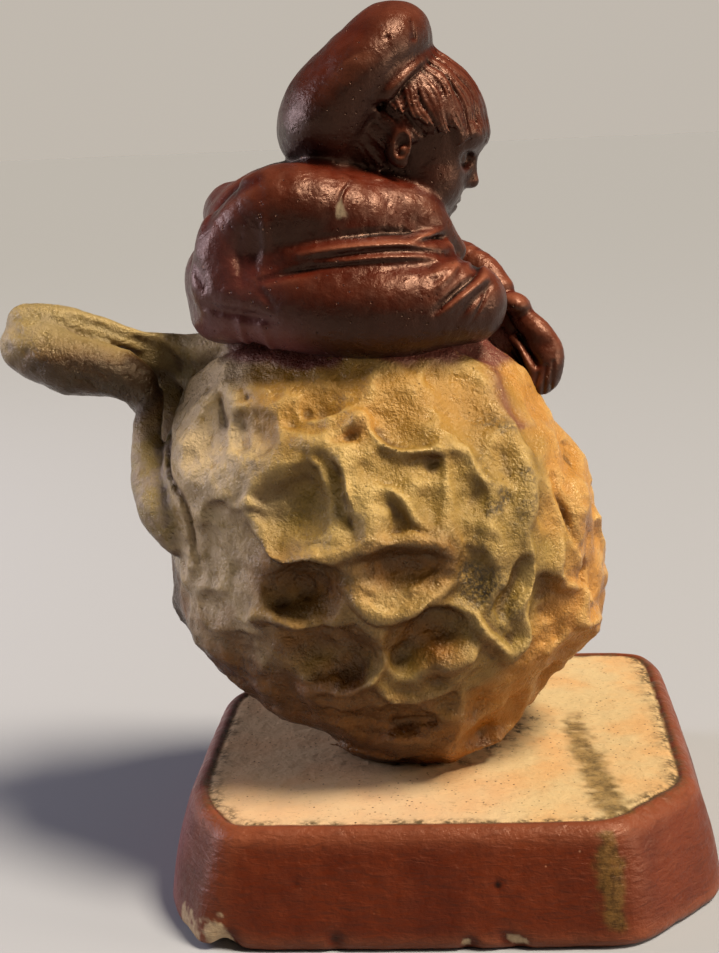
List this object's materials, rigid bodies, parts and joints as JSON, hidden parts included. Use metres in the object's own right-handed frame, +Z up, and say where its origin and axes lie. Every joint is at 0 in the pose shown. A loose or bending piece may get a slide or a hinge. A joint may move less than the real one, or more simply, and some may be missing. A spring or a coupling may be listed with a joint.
{
  "type": "painted terracotta figurine",
  "caption": "Child in a soft cap leaning on a big lumpy ball with a folded stalk, on a low square plinth with cut corners; painted terracotta.",
  "frame": {"origin": "centre of the plinth's flat underside", "axes": "+Z up; +X the way the child faces, with the stalk on -X; -Y the side that the picture shows"},
  "size_m": [0.1589, 0.124, 0.1928],
  "materials": {
    "red_brown_paint": null,
    "ochre_paint": null
  },
  "bodies": {
    "root": {"plinth": "red_brown_paint", "child_on_ball": "ochre_paint"}
  },
  "joints": []
}
